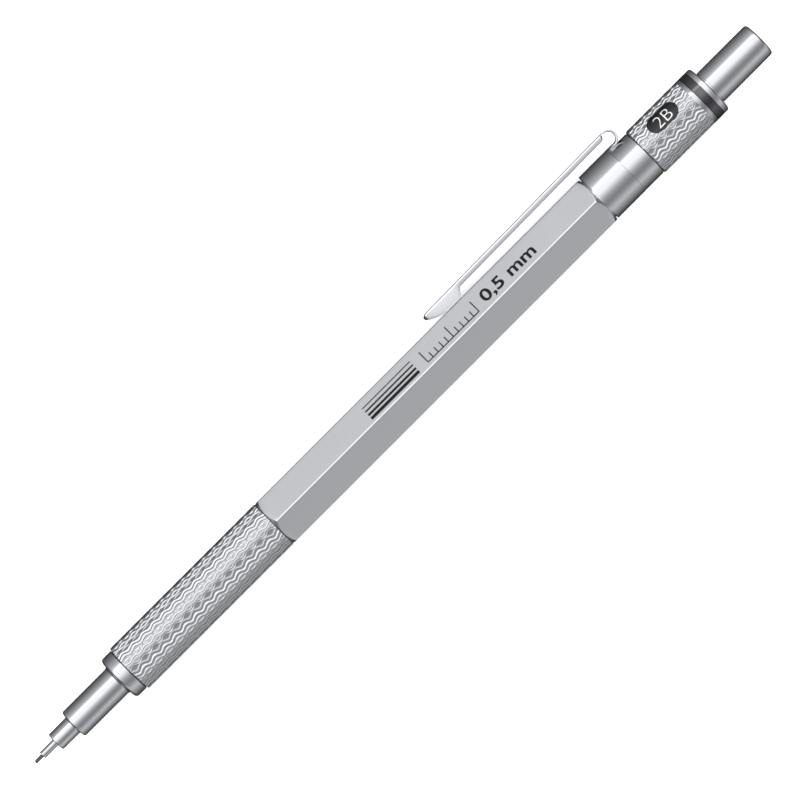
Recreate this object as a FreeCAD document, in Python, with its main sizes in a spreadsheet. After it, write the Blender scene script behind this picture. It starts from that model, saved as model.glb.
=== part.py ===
import FreeCAD, Part
import os
import re
import Sketcher

# A mechanical pencil for drafting, lying along X: lead to the front (-X side of the barrel),
# push button to the rear, clip toward +Y, one corner of the six-sided barrel up.

doc = FreeCAD.newDocument("mechanical_pencil")
sheet = doc.addObject("Spreadsheet::Sheet", "Sizes")

# Driving sizes in mm. Texts that start with "=" are worked out from the ones above them.
sizes = [
    # fits
    ("slip", "0.03"),            # radial room between parts that are pushed together by hand
    ("run", "0.05"),             # radial room between parts that move past each other
    ("sheet_metal", "0.32"),     # thickness of the clip
    # lead and front end
    ("lead_diameter", "0.56"),
    ("lead_out", "1.44"),
    ("lead_length", "60"),
    ("sleeve_diameter", "1.15"),
    ("sleeve_reach", "2.6"),
    ("sleeve_seat", "=sleeve_diameter / 2 - 0.025"),
    ("nose_diameter", "2.92"),
    ("nose_length", "3.5"),
    ("stem_start", "=sleeve_reach + nose_length"),
    ("stem_diameter", "4.64"),
    ("stem_length", "8.95"),
    ("collar_start", "=stem_start + stem_length"),
    ("collar_diameter", "7.23"),
    ("collar_length", "2"),
    ("collar_round", "0.6"),
    ("collar_end", "=collar_start + collar_length"),
    ("seam", "0.15"),
    # grip
    ("grip_start", "=collar_end + seam"),
    ("grip_length", "28.6"),
    ("grip_diameter", "7.94"),
    ("grip_end", "=grip_start + grip_length"),
    ("washer_length", "0.1"),
    # barrel
    ("barrel_start", "=grip_end + washer_length"),
    ("barrel_length", "64.1"),
    ("barrel_flats", "7.7"),
    ("barrel_wall", "0.85"),
    ("barrel_end", "=barrel_start + barrel_length"),
    ("flat_reach", "=barrel_flats / 2"),
    ("corner_reach", "=barrel_flats / 1.7320508"),
    ("bore_radius", "=flat_reach - barrel_wall"),
    ("end_face", "=flat_reach - 0.05"),
    ("end_slope", "=(corner_reach + 0.1 - end_face) * 0.8391"),
    ("core_radius", "=bore_radius - slip"),
    ("core_reach", "7"),
    # rear ferrule and clip
    ("band_gap", "0.25"),
    ("band_start", "=barrel_end + band_gap"),
    ("band_length", "5.35"),
    ("band_radius", "=flat_reach + 0.115"),
    ("band_shift", "0.165"),
    ("plain_start", "=band_start + band_length"),
    ("plain_length", "3.6"),
    ("plain_end", "=plain_start + plain_length"),
    ("seat_radius", "=flat_reach - 0.4"),
    ("clip_width", "3"),
    ("neck_width", "2.4"),
    ("loop_radius", "1.25"),
    ("loop_inner", "=loop_radius - sheet_metal"),
    ("loop_at", "=plain_start + 1.52"),
    ("loop_height", "=flat_reach + 1.2"),
    ("arm_top", "=loop_height + loop_radius"),
    ("arm_split", "0.12"),
    ("arm_start", "=loop_at - arm_split"),
    ("arm_length", "36.05"),
    ("arm_tip", "=arm_start - arm_length"),
    # lead tube, and what goes around it at the rear end
    ("tube_bore", "1.3"),
    ("tube_wall", "0.4"),
    ("tube_radius", "=tube_bore + tube_wall"),
    ("cup_wall", "0.45"),
    ("cup_rim", "0.3"),
    ("cup_radius", "=tube_radius + cup_wall"),
    ("button_bore", "=cup_radius + run"),
    ("button_wall", "0.55"),
    ("button_radius", "=button_bore + button_wall"),
    ("passage", "=button_radius + run"),
    ("spigot_wall", "0.4"),
    ("drum_bore", "=passage + spigot_wall"),
    ("drum_wall", "0.3"),
    ("drum_radius", "=drum_bore + drum_wall"),
    ("grade_wall", "0.54"),
    ("grade_radius", "=drum_radius + grade_wall"),
    ("ring_radius", "=grade_radius - 0.075"),
    # grade sleeve and its drum
    ("turn_gap", "0.1"),
    ("grade_start", "=plain_end + turn_gap"),
    ("grade_length", "10.5"),
    ("grade_end", "=grade_start + grade_length"),
    ("window_length", "5.3"),
    ("window_width", "2.87"),
    ("window_turn", "27.8"),
    # rear end
    ("ring_start", "=grade_end + run"),
    ("ring_length", "1.25"),
    ("cap_start", "=ring_start + ring_length"),
    ("cap_length", "0.9"),
    ("cap_end", "=cap_start + cap_length"),
    ("button_reach", "9.9"),
    ("button_inside", "5"),
    ("button_front", "=cap_end - button_inside"),
    ("button_end", "=cap_end + button_reach"),
    # feeding mechanism
    ("travel", "4"),
    ("ring_travel", "1"),
    ("retainer_start", "=stem_start + 0.25"),
    ("retainer_length", "1.25"),
    ("retainer_end", "=retainer_start + retainer_length"),
    ("jaw_front", "=retainer_end + travel + 0.4"),
    ("jaw_length", "8"),
    ("jaw_radius", "0.95"),
    ("jaw_head", "1.25"),
    ("jaw_end", "=jaw_front + jaw_length"),
    ("jaw_slot", "0.14"),
    ("clutch_start", "=jaw_front + 1.6"),
    ("clutch_length", "2"),
    ("clutch_radius", "1.7"),
    ("housing_start", "=clutch_start + clutch_length"),
    ("housing_nose", "1.75"),
    ("spring_room", "=tube_radius + 0.3"),
    ("housing_wall", "0.42"),
    ("housing_radius", "=spring_room + housing_wall"),
    ("spigot_end", "=grip_start + 4.8"),
    ("housing_step", "=spigot_end + 0.4"),
    ("spring_start", "=housing_step + 1.05"),
    ("spring_length", "11.4"),
    ("spring_turns", "9"),
    ("spring_radius", "1.55"),
    ("spring_wire", "0.34"),
    ("spring_end", "=spring_start + spring_length"),
    ("housing_end", "=spring_end + 9"),
    ("flange_end", "=spring_end + 1"),
    ("tube_end", "=cap_end - 1"),
    ("cup_start", "=tube_end - 2"),
    ("cup_end", "=tube_end + 5"),
    ("eraser_radius", "=cup_radius - cup_rim - 0.02"),
    ("eraser_end", "=button_end - 3.4"),
]
for row, (alias, text) in enumerate(sizes, start=1):
    sheet.set("A%d" % row, alias)
    sheet.set("B%d" % row, text)
    sheet.setAlias("B%d" % row, alias)
doc.recompute()


def linked(text):
    # "grip_start + 2" becomes "Sizes.grip_start + 2"
    return re.sub(r"\b[a-z][a-z_0-9]*\b(?!\()", lambda word: "Sizes." + word.group(0), text)


def value(text):
    return float(sheet.evalExpression(linked(text)))


def plane(body, role):
    return [item for item in body.Origin.OriginFeatures if item.Role == role][0]


def new_body(label):
    body = doc.addObject("PartDesign::Body", label)
    body.Label = label
    return body


def new_sketch(body, role="XY_Plane"):
    sketch = body.newObject("Sketcher::SketchObject", "sketch")
    sketch.AttachmentSupport = (plane(body, role), [""])
    sketch.MapMode = "FlatFace"
    return sketch


def pin_point(sketch, edge, end, across, up):
    # ties one end of an edge (3 is a centre) to two expressions
    for kind, text in (("DistanceX", across), ("DistanceY", up)):
        if text == "0":
            sketch.addConstraint(Sketcher.Constraint("PointOnObject", edge, end, -2 if kind == "DistanceX" else -1))
            continue
        number = sketch.addConstraint(Sketcher.Constraint(kind, -1, 1, edge, end, value(text)))
        sketch.setExpression("Constraints[%d]" % number, linked(text))


def outline(sketch, points):
    # closed outline through points given as pairs of expressions
    first = sketch.GeometryCount
    places = [FreeCAD.Vector(value(across), value(up), 0) for across, up in points]
    count = len(places)
    for index in range(count):
        sketch.addGeometry(Part.LineSegment(places[index], places[(index + 1) % count]), False)
    for index in range(count):
        after = first + (index + 1) % count
        sketch.addConstraint(Sketcher.Constraint("Coincident", first + index, 2, after, 1))
    for index, (across, up) in enumerate(points):
        pin_point(sketch, first + index, 1, across, up)
    return sketch


def circle(sketch, across, up, radius):
    centre = FreeCAD.Vector(value(across), value(up), 0)
    edge = sketch.addGeometry(Part.Circle(centre, FreeCAD.Vector(0, 0, 1), value(radius)), False)
    pin_point(sketch, edge, 3, across, up)
    number = sketch.addConstraint(Sketcher.Constraint("Radius", edge, value(radius)))
    sketch.setExpression("Constraints[%d]" % number, linked(radius))


def turn(body, kind, points):
    # revolves (Revolution) or cuts away (Groove) an outline around the X axis
    sketch = outline(new_sketch(body), points)
    feature = body.newObject("PartDesign::" + kind, kind.lower())
    feature.Profile = sketch
    feature.ReferenceAxis = (sketch, ["H_Axis"])
    feature.Angle = 360
    doc.recompute()
    return feature


def turned(label, points):
    body = new_body(label)
    turn(body, "Revolution", points)
    return body


def thread(body, start, pitch, count, radius, depth):
    # thread drawn as a row of ring grooves; a negative depth cuts outward from a bore
    half = pitch * 0.4
    points = [
        ("%s - %g" % (start, half), radius),
        (start, "%s - %g" % (radius, depth) if depth > 0 else "%s + %g" % (radius, -depth)),
        ("%s + %g" % (start, half), radius),
    ]
    groove = turn(body, "Groove", points)
    row = body.newObject("PartDesign::LinearPattern", "thread")
    row.Originals = [groove]
    row.Direction = (groove.Profile[0], ["H_Axis"])
    row.Length = pitch * (count - 1)
    row.Occurrences = count
    body.Tip = row
    doc.recompute()


def extrude(body, kind, sketch, width, reverse=False, both=True):
    feature = body.newObject("PartDesign::" + kind, kind.lower())
    feature.Profile = sketch
    if both:
        feature.SideType = "Symmetric"
    feature.setExpression("Length", linked(width))
    feature.Reversed = reverse
    doc.recompute()
    return feature


def circle_edges(shape, places):
    names = []
    for index, edge in enumerate(shape.Edges, start=1):
        curve = edge.Curve
        if not hasattr(curve, "Radius") or not hasattr(curve, "Center"):
            continue
        for along, radius in places:
            if abs(curve.Center.x - value(along)) < 1e-4 and abs(curve.Radius - value(radius)) < 1e-4:
                names.append("Edge%d" % index)
    return sorted(set(names))


def soften(body, kind, places, size):
    # rounds (Fillet) or bevels (Chamfer) the circular edges at the given places
    before = body.Tip
    feature = body.newObject("PartDesign::" + kind, kind.lower())
    feature.Base = (before, circle_edges(before.Shape, places))
    feature.setExpression("Radius" if kind == "Fillet" else "Size", linked(size))
    doc.recompute()
    return feature


def tube(start, end, bore, radius):
    return [(start, bore), (end, bore), (end, radius), (start, radius)]


parts = []

# ---- front end -------------------------------------------------------------------

lead_sleeve = turned("lead_sleeve", [
    ("0", "lead_diameter / 2 + 0.02"),
    ("retainer_start - 0.5", "lead_diameter / 2 + 0.02"),
    ("retainer_start - 0.05", "sleeve_seat - 0.06"),
    ("retainer_start - 0.05", "sleeve_seat"),
    ("sleeve_reach - 0.1", "sleeve_seat"),
    ("sleeve_reach - 0.1", "sleeve_diameter / 2"),
    ("0.12", "sleeve_diameter / 2"),
    ("0", "sleeve_diameter / 2 - 0.08"),
])
parts.append(lead_sleeve)

tip_cone = turned("tip_cone", [
    ("sleeve_reach", "sleeve_seat"),
    ("retainer_start - 0.05", "sleeve_seat"),
    ("retainer_start - 0.05", "jaw_head + 0.05"),
    ("retainer_end", "jaw_head + 0.05"),
    ("retainer_end", "jaw_head + 0.3"),
    ("clutch_start - ring_travel", "jaw_head + 0.3"),
    ("clutch_start - ring_travel", "housing_nose + run"),
    ("spigot_end", "housing_nose + run"),
    ("spigot_end", "housing_radius - run"),
    ("collar_end + 0.6", "housing_radius - run"),
    ("collar_end + 0.6", "housing_radius - 0.25"),
    ("collar_end", "housing_radius - 0.25"),
    ("collar_end", "collar_diameter / 2"),
    ("collar_start", "collar_diameter / 2"),
    ("collar_start", "stem_diameter / 2"),
    ("stem_start", "stem_diameter / 2"),
    ("stem_start", "nose_diameter / 2"),
    ("sleeve_reach", "nose_diameter / 2"),
])
soften(tip_cone, "Fillet", [("collar_start", "collar_diameter / 2")], "collar_round")
soften(tip_cone, "Chamfer", [("stem_start", "stem_diameter / 2")], "0.3")
soften(tip_cone, "Chamfer", [("sleeve_reach", "nose_diameter / 2")], "0.15")
thread(tip_cone, "collar_end + 1.1", 0.5, 8, "housing_radius - run", 0.18)
parts.append(tip_cone)

lead_retainer = turned("lead_retainer", [
    ("retainer_start", "lead_diameter / 2 + 0.01"),
    ("retainer_end - 0.5", "lead_diameter / 2 + 0.01"),
    ("retainer_end", "lead_diameter / 2 + 0.3"),
    ("retainer_end", "jaw_head + 0.05"),
    ("retainer_start", "jaw_head + 0.05"),
])
parts.append(lead_retainer)

# ---- grip -------------------------------------------------------------------------

grip_sleeve = turned("grip_sleeve", tube("grip_start", "grip_end", "bore_radius", "grip_diameter / 2"))
soften(grip_sleeve, "Chamfer", [("grip_start", "grip_diameter / 2"), ("grip_end", "grip_diameter / 2")], "0.16")
parts.append(grip_sleeve)

grip_core = turned("grip_core", [
    ("grip_start", "housing_radius"),
    ("housing_end + 0.4", "housing_radius"),
    ("housing_end + 0.4", "tube_radius + 0.4"),
    ("barrel_start + core_reach", "tube_radius + 0.4"),
    ("barrel_start + core_reach", "core_radius"),
    ("grip_start", "core_radius"),
])
thread(grip_core, "grip_start + 0.95", 0.5, 8, "housing_radius", -0.18)
thread(grip_core, "barrel_start + 1.5", 0.6, 8, "core_radius", 0.2)
parts.append(grip_core)

grip_washer = turned("grip_washer", tube("grip_end", "barrel_start", "core_radius", "end_face - 0.03"))
parts.append(grip_washer)

# ---- barrel -----------------------------------------------------------------------

barrel = new_body("barrel")
hexagon = new_sketch(barrel, "YZ_Plane")
corner = "barrel_flats / 1.7320508"
outline(hexagon, [
    ("0", corner),
    ("barrel_flats / 2", corner + " / 2"),
    ("barrel_flats / 2", "-" + corner + " / 2"),
    ("0", "-" + corner),
    ("-barrel_flats / 2", "-" + corner + " / 2"),
    ("-barrel_flats / 2", corner + " / 2"),
])
extrude(barrel, "Pad", hexagon, "barrel_length", both=False)
turn(barrel, "Groove", tube("0", "barrel_length", "0", "bore_radius"))
turn(barrel, "Groove", [("0", "end_face"), ("end_slope", "corner_reach + 0.1"), ("0", "corner_reach + 0.1")])
turn(barrel, "Groove", [
    ("barrel_length", "end_face"),
    ("barrel_length - end_slope", "corner_reach + 0.1"),
    ("barrel_length", "corner_reach + 0.1"),
])
thread(barrel, "1.5", 0.6, 8, "bore_radius", -0.2)
thread(barrel, "barrel_length - 5.7", 0.6, 8, "bore_radius", -0.2)
barrel.setExpression("Placement.Base.x", linked("barrel_start"))
parts.append(barrel)

# ---- rear ferrule and clip -----------------------------------------------------------

rear_ferrule = turned("rear_ferrule", [
    ("barrel_end - 7", "tube_radius + 0.4"),
    ("cap_end - button_inside - travel - 0.6", "tube_radius + 0.4"),
    ("cap_end - button_inside - travel - 0.6", "passage"),
    ("plain_end + 4.7", "passage"),
    ("plain_end + 4.7", "drum_bore"),
    ("plain_end", "drum_bore"),
    ("plain_end", "flat_reach - 0.07"),
    ("plain_start", "flat_reach - 0.07"),
    ("plain_start", "seat_radius"),
    ("barrel_end", "seat_radius"),
    ("barrel_end", "core_radius"),
    ("barrel_end - 7", "core_radius"),
])
thread(rear_ferrule, "barrel_end - 5.7", 0.6, 8, "core_radius", 0.2)
parts.append(rear_ferrule)

clip_ring = new_body("clip_ring")
band_face = new_sketch(clip_ring, "YZ_Plane")
band_face.setExpression("AttachmentOffset.Base.z", linked("band_start"))
circle(band_face, "band_shift", "0", "band_radius")
extrude(clip_ring, "Pad", band_face, "band_length", both=False)
neck = outline(new_sketch(clip_ring), [
    ("plain_start - 0.2", "loop_height - loop_radius"),
    ("loop_at", "loop_height - loop_radius"),
    ("loop_at", "loop_height - loop_inner"),
    ("plain_start - 0.2", "loop_height - loop_inner"),
])
extrude(clip_ring, "Pad", neck, "neck_width")
loop = new_sketch(clip_ring)
circle(loop, "loop_at", "loop_height", "loop_radius")
circle(loop, "loop_at", "loop_height", "loop_inner")
extrude(clip_ring, "Pad", loop, "neck_width")
opening = outline(new_sketch(clip_ring), [
    ("loop_at - loop_radius - 0.4", "loop_height - loop_inner"),
    ("loop_at", "loop_height - loop_inner"),
    ("loop_at", "arm_top + 0.4"),
    ("loop_at - loop_radius - 0.4", "arm_top + 0.4"),
])
extrude(clip_ring, "Pocket", opening, "clip_width + 2")
turn(clip_ring, "Groove", tube("band_start - 0.5", "plain_start", "0", "seat_radius"))
parts.append(clip_ring)

clip_arm = new_body("clip_arm")
arm_side = outline(new_sketch(clip_arm), [
    ("arm_start", "arm_top"),
    ("arm_tip + 0.5", "arm_top - 0.4"),
    ("arm_tip", "arm_top - 0.75"),
    ("arm_tip + 0.1", "arm_top - 1.1"),
    ("arm_tip + 3.4", "flat_reach + slip"),
    ("arm_tip + 5.2", "flat_reach + slip"),
    ("arm_tip + 6.3", "flat_reach + 0.65"),
    ("arm_tip + 7.3", "arm_top - 1.2"),
    ("arm_start - 0.5", "arm_top - 0.88"),
    ("arm_start - 0.5", "arm_top - sheet_metal"),
    ("arm_start", "arm_top - sheet_metal"),
])
extrude(clip_arm, "Pad", arm_side, "clip_width")
hollow = outline(new_sketch(clip_arm), [
    ("arm_start - 0.5", "arm_top - sheet_metal"),
    ("arm_tip + 0.75", "arm_top - 0.4 - sheet_metal"),
    ("arm_tip + 0.75", "arm_top - 1"),
    ("arm_tip + 3.6", "flat_reach + slip + sheet_metal"),
    ("arm_tip + 5", "flat_reach + slip + sheet_metal"),
    ("arm_tip + 6", "flat_reach + 0.85"),
    ("arm_tip + 6.6", "flat_reach + 0.5"),
    ("arm_start - 0.5", "flat_reach + 0.5"),
])
extrude(clip_arm, "Pocket", hollow, "clip_width - 2 * sheet_metal")
parts.append(clip_arm)

# ---- grade sleeve, drum, rear rings ----------------------------------------------------

grade_drum = turned("grade_drum", tube("plain_end", "ring_start", "drum_bore", "drum_radius"))
parts.append(grade_drum)

grade_sleeve = turned("grade_sleeve", [
    ("grade_start", "drum_radius + run"),
    ("grade_end - 0.9", "drum_radius + run"),
    ("grade_end - 0.9", "drum_radius + 0.25"),
    ("grade_end - 0.3", "drum_radius + 0.25"),
    ("grade_end - 0.3", "drum_radius + run"),
    ("grade_end", "drum_radius + run"),
    ("grade_end", "grade_radius - 0.06"),
    ("grade_end - 0.7", "grade_radius - 0.06"),
    ("grade_end - 0.7", "grade_radius"),
    ("grade_start", "grade_radius"),
])
soften(grade_sleeve, "Chamfer", [("grade_start", "grade_radius")], "0.25")
window = new_sketch(grade_sleeve)
middle = "grade_start + 5"
slot_half = "(window_length - window_width) / 2"
ends = ["%s + %s" % (middle, slot_half), "%s - %s" % (middle, slot_half)]
outline(window, [
    (ends[1], "-window_width / 2"),
    (ends[0], "-window_width / 2"),
    (ends[0], "window_width / 2"),
    (ends[1], "window_width / 2"),
])
extrude(grade_sleeve, "Pocket", window, "2 * grade_radius", reverse=True, both=False)
for end in ends:
    round_end = new_sketch(grade_sleeve)
    circle(round_end, end, "0", "window_width / 2")
    extrude(grade_sleeve, "Pocket", round_end, "2 * grade_radius", reverse=True, both=False)
grade_sleeve.Placement.Rotation = FreeCAD.Rotation(FreeCAD.Vector(-1, 0, 0), 1)
grade_sleeve.setExpression("Placement.Rotation.Angle", linked("window_turn"))
parts.append(grade_sleeve)

friction_ring = new_body("friction_ring")
ring_round = new_sketch(friction_ring)
circle(ring_round, "grade_end - 0.6", "drum_radius + 0.12", "0.115")
ring_turn = friction_ring.newObject("PartDesign::Revolution", "revolution")
ring_turn.Profile = ring_round
ring_turn.ReferenceAxis = (ring_round, ["H_Axis"])
ring_turn.Angle = 360
parts.append(friction_ring)

colour_ring = turned("colour_ring", tube("ring_start", "cap_start", "drum_bore", "ring_radius"))
soften(colour_ring, "Chamfer", [("ring_start", "ring_radius"), ("cap_start", "ring_radius")], "0.05")
parts.append(colour_ring)

end_collar = turned("end_collar", [
    ("plain_end + 4.9", "passage"),
    ("cap_end", "passage"),
    ("cap_end", "ring_radius"),
    ("cap_start", "ring_radius"),
    ("cap_start", "drum_bore"),
    ("plain_end + 4.9", "drum_bore"),
])
soften(end_collar, "Fillet", [("cap_end", "ring_radius")], "0.5")
parts.append(end_collar)

# ---- push button and eraser --------------------------------------------------------------

push_button = turned("push_button", [
    ("button_front", "button_bore"),
    ("button_end - 1", "button_bore"),
    ("button_end - 1", "0"),
    ("button_end", "0"),
    ("button_end", "button_radius"),
    ("cap_end + 0.3", "button_radius"),
    ("cap_end + 0.3", "button_radius - 0.06"),
    ("button_front", "button_radius - 0.06"),
])
soften(push_button, "Fillet", [("button_end", "button_radius")], "0.6")
soften(push_button, "Chamfer", [("button_front", "button_radius - 0.06")], "0.12")
parts.append(push_button)

eraser_cup = turned("eraser_cup", [
    ("cup_start", "tube_radius"),
    ("tube_end", "tube_radius"),
    ("tube_end", "tube_bore"),
    ("tube_end + 0.4", "tube_bore"),
    ("tube_end + 0.4", "eraser_radius + 0.02"),
    ("cup_end", "eraser_radius + 0.02"),
    ("cup_end", "cup_radius"),
    ("cup_start", "cup_radius"),
])
parts.append(eraser_cup)

eraser = turned("eraser", [
    ("tube_end + 0.45", "0"),
    ("eraser_end", "0"),
    ("eraser_end", "eraser_radius"),
    ("tube_end + 0.45", "eraser_radius"),
])
soften(eraser, "Fillet", [("eraser_end", "eraser_radius")], "0.35")
parts.append(eraser)

# ---- feeding mechanism ---------------------------------------------------------------------

lead_tube = turned("lead_tube", tube("flange_end", "tube_end", "tube_bore", "tube_radius"))
parts.append(lead_tube)

chuck_connector = turned("chuck_connector", [
    ("spring_end", "jaw_radius"),
    ("flange_end + 1.2", "jaw_radius"),
    ("flange_end + 1.2", "jaw_radius - 0.5"),
    ("flange_end + 4", "tube_bore - 0.15"),
    ("flange_end + 4", "tube_bore"),
    ("flange_end", "tube_bore"),
    ("flange_end", "spring_room - 0.1"),
    ("spring_end", "spring_room - 0.1"),
])
parts.append(chuck_connector)

chuck_shank = turned("chuck_shank", [
    ("jaw_end + 0.03", "jaw_radius - 0.5"),
    ("flange_end + 1.2", "jaw_radius - 0.5"),
    ("flange_end + 1.2", "jaw_radius"),
    ("jaw_end + 0.03", "jaw_radius"),
])
parts.append(chuck_shank)

for number in range(3):
    # one third of the gripping head, cut from a full turn; its middle points along +Y before it is placed
    jaw = turned("chuck_jaw_%d" % (number + 1), [
        ("jaw_front", "lead_diameter / 2 + 0.005"),
        ("jaw_front + 3.5", "lead_diameter / 2 + 0.005"),
        ("jaw_front + 3.7", "jaw_radius - 0.5"),
        ("jaw_end", "jaw_radius - 0.5"),
        ("jaw_end", "jaw_radius"),
        ("jaw_front + 3.9", "jaw_radius"),
        ("jaw_front + 1.4", "jaw_head"),
        ("jaw_front + 0.25", "jaw_head"),
        ("jaw_front", "jaw_head - 0.3"),
    ])
    away = new_sketch(jaw, "YZ_Plane")
    outline(away, [
        ("jaw_slot", "0"),
        ("jaw_slot + 2", "3.4641016"),
        ("-3", "3.4641016"),
        ("-3", "-3.4641016"),
        ("jaw_slot + 2", "-3.4641016"),
    ])
    extrude(jaw, "Pocket", away, "jaw_end + 1", reverse=True, both=False)
    jaw.Placement.Rotation = FreeCAD.Rotation(FreeCAD.Vector(1, 0, 0), 120 * number)
    parts.append(jaw)

slope = "(jaw_head - jaw_radius) / 2.5"
wedge = "jaw_head + 0.01 - (%s - jaw_front - 1.4) * " + slope
clutch_ring = turned("clutch_ring", [
    ("clutch_start", wedge % "clutch_start"),
    ("housing_start", wedge % "housing_start"),
    ("housing_start", "clutch_radius"),
    ("clutch_start", "clutch_radius"),
])
soften(clutch_ring, "Chamfer", [("clutch_start", "clutch_radius")], "0.15")
parts.append(clutch_ring)

mechanism_housing = turned("mechanism_housing", [
    ("housing_start", "jaw_radius + 0.2"),
    ("spring_start", "jaw_radius + 0.2"),
    ("spring_start", "spring_room"),
    ("housing_end", "spring_room"),
    ("housing_end", "housing_radius"),
    ("housing_step", "housing_radius"),
    ("housing_step", "housing_nose"),
    ("housing_start", "housing_nose"),
])
parts.append(mechanism_housing)

return_spring = new_body("return_spring")
wire = new_sketch(return_spring)
circle(wire, "spring_wire / 2 + 0.02", "spring_radius", "spring_wire / 2")
coil = return_spring.newObject("PartDesign::AdditiveHelix", "coil")
coil.Profile = wire
coil.ReferenceAxis = (wire, ["H_Axis"])
coil.Mode = 1
coil.setExpression("Turns", linked("spring_turns"))
coil.setExpression("Pitch", linked("(spring_length - spring_wire - 0.04) / spring_turns"))
return_spring.setExpression("Placement.Base.x", linked("spring_start"))
parts.append(return_spring)


def add_rod(label, along, side, height):
    # a stick of lead with its front end at `along`
    rod = doc.addObject("Part::Cylinder", label)
    rod.Label = label
    rod.setExpression("Radius", linked("lead_diameter / 2"))
    rod.setExpression("Height", linked("lead_length"))
    rod.Placement.Rotation = FreeCAD.Rotation(FreeCAD.Vector(0, 1, 0), 90)
    rod.setExpression("Placement.Base.x", linked(along))
    rod.setExpression("Placement.Base.y", linked(side))
    rod.setExpression("Placement.Base.z", linked(height))
    parts.append(rod)


# the spare leads lie side by side on the bottom of the lead tube
reach = "(tube_bore - lead_diameter / 2 - 0.01)"
spread = "(lead_diameter + 0.01)"
raised = "-sqrt(%s ^ 2 - %s ^ 2)" % (reach, spread)
spare_front = "tube_end - 9 - lead_length"
add_rod("lead", "-lead_out", "0", "0")
add_rod("spare_lead_1", spare_front, "0", "-" + reach)
add_rod("spare_lead_2", spare_front, spread, raised)
add_rod("spare_lead_3", spare_front, "-" + spread, raised)

doc.recompute()

for item in doc.Objects:
    if "Invalid" in item.State or "Error" in item.State:
        raise RuntimeError("%s is %s" % (item.Label, item.State))
for item in parts:
    if item.Shape.isNull() or not item.Shape.isValid():
        raise RuntimeError("%s has no valid shape" % item.Label)
    if len(item.Shape.Solids) != 1:
        raise RuntimeError("%s has %d solids" % (item.Label, len(item.Shape.Solids)))

os.makedirs("parts", exist_ok=True)
for item in parts:
    item.Shape.exportStep("parts/%s.step" % item.Label)
    box = item.Shape.BoundBox
    print("%-20s x %7.2f %7.2f  y %6.2f %6.2f  z %6.2f %6.2f  %8.2f mm3" % (
        item.Label, box.XMin, box.XMax, box.YMin, box.YMax, box.ZMin, box.ZMax, item.Shape.Volume))
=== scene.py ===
import bpy, bmesh, math
import numpy as np
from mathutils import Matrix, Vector


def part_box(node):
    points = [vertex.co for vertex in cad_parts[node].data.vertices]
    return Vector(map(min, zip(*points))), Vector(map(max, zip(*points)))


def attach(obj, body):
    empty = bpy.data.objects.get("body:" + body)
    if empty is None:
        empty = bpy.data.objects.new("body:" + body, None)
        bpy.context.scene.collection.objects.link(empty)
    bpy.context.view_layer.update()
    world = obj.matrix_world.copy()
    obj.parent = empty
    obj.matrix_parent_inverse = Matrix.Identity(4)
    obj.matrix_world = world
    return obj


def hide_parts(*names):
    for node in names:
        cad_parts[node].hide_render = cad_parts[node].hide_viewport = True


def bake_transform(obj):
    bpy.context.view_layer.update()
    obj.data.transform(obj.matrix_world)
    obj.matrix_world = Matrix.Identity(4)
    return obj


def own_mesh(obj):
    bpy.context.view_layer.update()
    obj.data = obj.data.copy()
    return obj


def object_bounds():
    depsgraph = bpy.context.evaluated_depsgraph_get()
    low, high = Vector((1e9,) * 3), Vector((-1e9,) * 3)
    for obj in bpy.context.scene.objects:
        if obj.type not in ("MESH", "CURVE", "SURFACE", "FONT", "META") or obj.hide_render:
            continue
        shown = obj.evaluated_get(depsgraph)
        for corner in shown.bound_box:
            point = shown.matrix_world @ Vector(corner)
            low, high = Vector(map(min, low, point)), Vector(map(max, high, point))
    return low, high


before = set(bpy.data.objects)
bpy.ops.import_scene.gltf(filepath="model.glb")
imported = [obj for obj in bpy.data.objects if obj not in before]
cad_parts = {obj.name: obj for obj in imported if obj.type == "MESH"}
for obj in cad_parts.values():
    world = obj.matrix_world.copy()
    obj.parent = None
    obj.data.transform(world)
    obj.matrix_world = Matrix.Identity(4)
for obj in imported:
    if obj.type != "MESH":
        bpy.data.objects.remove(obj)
cadLow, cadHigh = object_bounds()
mm = 0.001
print("frame loaded")


def span(node):  # where a node lies, in mm
    low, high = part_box(node)
    return [v / mm for v in low], [v / mm for v in high]


def hexColour(text):  # sRGB hex to the linear values that shaders take
    values = [int(text[i:i + 2], 16) / 255 for i in (1, 3, 5)]
    return [v / 12.92 if v <= 0.04045 else ((v + 0.055) / 1.055) ** 2.4 for v in values] + [1]


def addNode(tree, kind, settings=None, inputs=None):  # one node, its settings, and its values or links
    node = tree.nodes.new(kind)
    for name, setting in (settings or {}).items():
        setattr(node, name, setting)
    for name, source in (inputs or {}).items():
        socket = node.inputs[name]
        if isinstance(source, bpy.types.NodeSocket):
            tree.links.new(source, socket)
        else:
            socket.default_value = source
    return node


def newMaterial(name, colour, roughness, metallic=0.0, **sockets):
    material = bpy.data.materials.new(name)
    material.use_nodes = True
    tree = material.node_tree
    shader = tree.nodes["Principled BSDF"]
    shader.inputs["Base Color"].default_value = hexColour(colour)
    shader.inputs["Roughness"].default_value = roughness
    shader.inputs["Metallic"].default_value = metallic
    for name, setting in sockets.items():
        shader.inputs[name].default_value = setting
    where = addNode(tree, "ShaderNodeTexCoord").outputs["Object"]
    return material, tree, shader, where


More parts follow.
